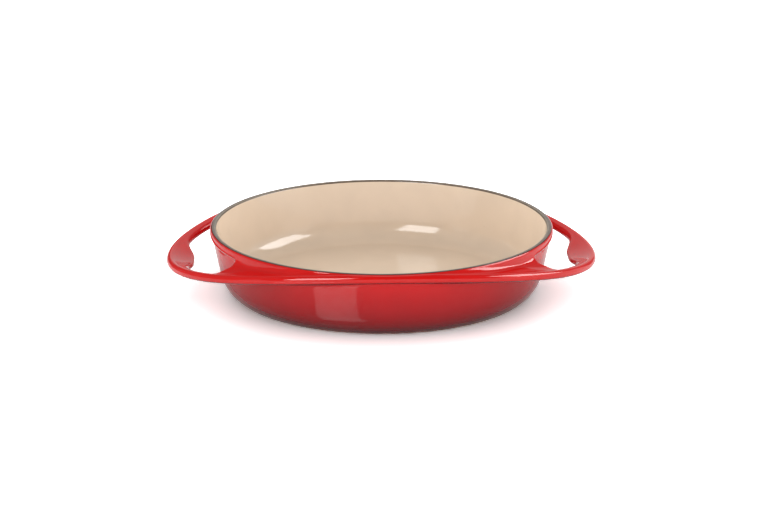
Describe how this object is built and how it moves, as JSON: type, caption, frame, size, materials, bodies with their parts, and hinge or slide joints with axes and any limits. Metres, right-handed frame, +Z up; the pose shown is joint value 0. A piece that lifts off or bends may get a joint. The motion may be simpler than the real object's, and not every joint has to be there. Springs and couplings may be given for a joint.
{
  "type": "tarte tatin dish",
  "caption": "Shallow round enamelled cast-iron tarte tatin dish with a drooping loop handle on each side, red outside and sand inside.",
  "frame": {"origin": "middle of the flat foot, on the surface that the dish stands on", "axes": "+Z up through the middle of the bowl, +X along the line through both handles, +Y level and square to the handles"},
  "size_m": [0.3264, 0.2644, 0.051],
  "materials": {
    "cast_iron": "as cast, under enamel",
    "red_enamel": "glossy vitreous enamel, darker towards the foot",
    "sand_enamel": "glossy vitreous enamel",
    "rim_ground_coat": "satin vitreous ground coat",
    "foot_ground_coat": "matte vitreous ground coat"
  },
  "bodies": {
    "root": {"iron_casting": "cast_iron", "outside_enamel": "red_enamel", "inside_enamel": "sand_enamel", "rim_band": "rim_ground_coat", "foot_coat": "foot_ground_coat"}
  },
  "joints": []
}
